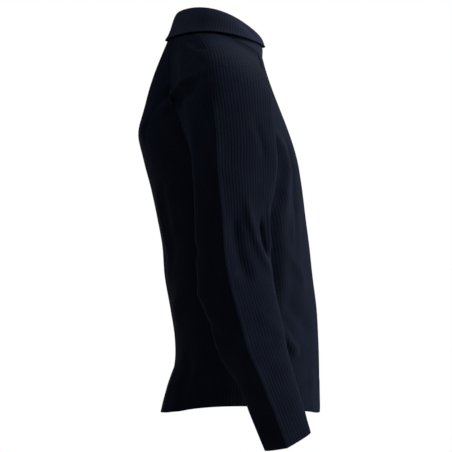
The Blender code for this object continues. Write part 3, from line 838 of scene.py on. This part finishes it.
# Rings from the neck seam over the fold to the free edge: half of a ring's width, the y of its
# front and back, and its heights at the front, side and back.
CollarRing = namedtuple("CollarRing", "half_width front back low side high")
COLLAR_RINGS = (
    CollarRing(0.0640, -0.0815, 0.0765, -0.0298, 0.0042, 0.0012),
    CollarRing(0.0605, -0.0812, 0.0665, -0.0130, 0.0180, 0.0190),
    CollarRing(0.0575, -0.0735, 0.0560, -0.0020, 0.0310, 0.0360),
    CollarRing(0.0580, -0.0725, 0.0545, 0.0030, 0.0392, 0.0425),
    CollarRing(0.0605, -0.0740, 0.0580, 0.0060, 0.0424, 0.0456),
    CollarRing(0.0640, -0.0775, 0.0630, 0.0045, 0.0402, 0.0430),
    CollarRing(0.0665, -0.0808, 0.0680, 0.0005, 0.0305, 0.0330),
    CollarRing(0.0695, -0.0838, 0.0742, -0.0065, 0.0178, 0.0140),
    CollarRing(0.0716, -0.0852, 0.0812, -0.0124, 0.0056, -0.0018),
)
COLLAR_ROWS = 64
COLLAR_RIBS = 104
COLLAR_RIB_HEIGHT = 0.00030
# The collar's colours are lighter than the body's navy though it is the same wool: painted light,
# standing in for the light the collar catches. Its groove colour is painted shade, as on the body.
COLLAR_LIT_CREST = (0.0235, 0.0315, 0.0550)
COLLAR_LIT_GROOVE_SHADE = (0.0100, 0.0130, 0.0240)
COLLAR_LENGTH = 0.098  # from the neck seam over the fold to the free edge
COLLAR_ROUND = 0.440
EDGE_ROLL = 0.0012  # how much its free edge rolls outwards
EDGE_WIDTH = 0.007  # over this length
TURNED_FADE = 0.02  # length past the middle over which its creases start
# x runs round the collar from its front, towards the wearer's right.
COLLAR_FOLDS = (
    Fold(0.175, 0.060, 0.120, 0.090, 0.004, 0.008, -0.0022),
    Fold(0.150, 0.072, 0.060, 0.082, -0.004, 0.009, 0.0016),
    Fold(0.070, 0.055, 0.040, 0.090, 0.002, 0.009, -0.0016),
    Fold(0.300, 0.062, 0.360, 0.088, 0.003, 0.009, -0.0020),
    Fold(0.390, 0.060, 0.420, 0.090, 0.002, 0.009, 0.0014),
)


def collar_point(y, angle):
    """Points of the collar at a length y from its neck seam, through its table of rings."""
    row = y / COLLAR_LENGTH * (len(COLLAR_RINGS) - 1)
    half_width, front, back, low, side, high = (
        through(COLLAR_RINGS, name, row) for name in CollarRing._fields
    )
    x = -half_width * np.sin(angle)
    across = (front + back) / 2 - (back - front) / 2 * np.cos(angle)
    return np.stack([x, across, ring_height((low, side, high), angle)], axis=-1)


def collar(name, folds):
    """The folded tube, with its ribs round it at equal angles."""
    columns = PER_RIB * COLLAR_RIBS
    angle, y = np.meshgrid(
        np.linspace(0, 2 * math.pi, columns + 1), np.linspace(0, COLLAR_LENGTH, COLLAR_ROWS)
    )
    x = angle / (2 * math.pi) * COLLAR_ROUND
    points = collar_point(y, angle)
    height = fold_height(x, y, folds) * smooth((y - COLLAR_LENGTH / 2) / TURNED_FADE)
    height += EDGE_ROLL * smooth((y - COLLAR_LENGTH + EDGE_WIDTH) / EDGE_WIDTH)
    points = points - outward(points, False) * height[..., None]
    ribs = 0.5 + 0.5 * np.cos(angle * COLLAR_RIBS)
    points = points - outward(points, False) * (WALL / 2 + ribs * COLLAR_RIB_HEIGHT)[..., None]
    return cloth_object(name, points, np.stack([x, y], axis=-1), True)


band = collar("folded_collar", COLLAR_FOLDS)
band.data.materials.append(
    knit_material(
        "collar_lit_knit", COLLAR_LIT_CREST, COLLAR_LIT_GROOVE_SHADE, COLLAR_ROUND / COLLAR_RIBS, STITCH_RELIEF
    )
)
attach(band, "root")
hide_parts("collar")

# ---------------------------------------------------------------------------
# Studio: a pale floor far below, a white ground, one large soft light in front of the garment
# a little towards the camera's side, and weak ones above it and on its other sides.
# ---------------------------------------------------------------------------

FLOOR_HEIGHT = -1.30
FLOOR_SIZE = 5.0
FLOOR_GREY = 0.8
FLOOR_ROUGHNESS = 0.9
FLOOR_GLOW = 0.75  # keeps the floor pale in a studio lit this low, and adds no light
WORLD_LIGHT = 0.04  # what the white ground adds to the light
WHITE = (1, 1, 1, 1)
Lamp = namedtuple("Lamp", "name place target size watts")
LAMPS = (
    Lamp("key", (-0.55, -3.25, 0.6), (0.0, -0.05, -0.25), 1.6, 142.0),
    Lamp("fill", (-2.6, 1.2, 0.6), (0.0, 0.0, -0.3), 2.0, 0.5),
    Lamp("top", (-0.42, 0.44, 0.72), (0.0, 0.0, 0.0), 0.4, 3.1),
    Lamp("left", (1.8, -1.6, 1.2), (0.0, 0.0, -0.3), 1.4, 20.0),
    Lamp("behind", (2.8, 0.8, -0.5), (0.0, 0.0, -0.35), 1.6, 14.0),
)


def look_at(thing, target):
    """Turns a lamp or camera so that its own -Z runs from it to the target."""
    run = np.array(target) - np.array(thing.location)
    thing.rotation_euler = (
        math.atan2(math.hypot(run[0], run[1]), -run[2]),
        0,
        math.atan2(-run[0], run[1]),
    )


def seen_strength(tree, least, most, strength):
    """Feeds a strength that is most where the camera sees the surface itself, and least for
    the light that it gives."""
    path = tree.nodes.new("ShaderNodeLightPath")
    span = tree.nodes.new("ShaderNodeMapRange")
    span.inputs["To Min"].default_value = least
    span.inputs["To Max"].default_value = most
    tree.links.new(path.outputs["Is Camera Ray"], span.inputs["Value"])
    tree.links.new(span.outputs["Result"], strength)


floor_mesh = bpy.data.meshes.new("floor")
reach = FLOOR_SIZE / 2
floor_corners = [(-reach, -reach), (reach, -reach), (reach, reach), (-reach, reach)]
floor_mesh.from_pydata([(x, y, FLOOR_HEIGHT) for x, y in floor_corners], [], [(0, 1, 2, 3)])
floor = bpy.data.objects.new("floor", floor_mesh)
bpy.context.scene.collection.objects.link(floor)
floor_paint = bpy.data.materials.new("pale_floor")
floor_paint.use_nodes = True
floor_shader = floor_paint.node_tree.nodes["Principled BSDF"]
floor_shader.inputs["Base Color"].default_value = (FLOOR_GREY, FLOOR_GREY, FLOOR_GREY, 1)
floor_shader.inputs["Roughness"].default_value = FLOOR_ROUGHNESS
floor_shader.inputs["Emission Color"].default_value = WHITE
seen_strength(floor_paint.node_tree, 0.0, FLOOR_GLOW, floor_shader.inputs["Emission Strength"])
floor.data.materials.append(floor_paint)

for lamp in LAMPS:
    light = bpy.data.lights.new(lamp.name, "AREA")
    light.size = lamp.size
    light.energy = lamp.watts
    holder = bpy.data.objects.new(lamp.name, light)
    holder.location = lamp.place
    look_at(holder, lamp.target)
    bpy.context.scene.collection.objects.link(holder)

world = bpy.data.worlds.new("white_ground")
bpy.context.scene.world = world
world.use_nodes = True
ground = world.node_tree.nodes["Background"]
ground.inputs["Color"].default_value = WHITE
seen_strength(world.node_tree, WORLD_LIGHT, 1.0, ground.inputs["Strength"])
bpy.context.scene.view_settings.view_transform = "Standard"

# ---------------------------------------------------------------------------
# Camera: level, square to the wearer's right side, 2.9 m away.
# ---------------------------------------------------------------------------

CAMERA_DISTANCE = 2.9
CAMERA_Y, CAMERA_Z = -0.0204, -0.316
PICTURE_WIDTH = 0.7684  # what the picture spans at the garment's middle
SENSOR_WIDTH = 36.0
camera_data = bpy.data.cameras.new("side_view")
camera_data.sensor_width = SENSOR_WIDTH
camera_data.lens = SENSOR_WIDTH * CAMERA_DISTANCE / PICTURE_WIDTH
camera = bpy.data.objects.new("side_view", camera_data)
camera.location = (-CAMERA_DISTANCE, CAMERA_Y, CAMERA_Z)
look_at(camera, (0.0, CAMERA_Y, CAMERA_Z))
bpy.context.scene.collection.objects.link(camera)
bpy.context.scene.camera = camera
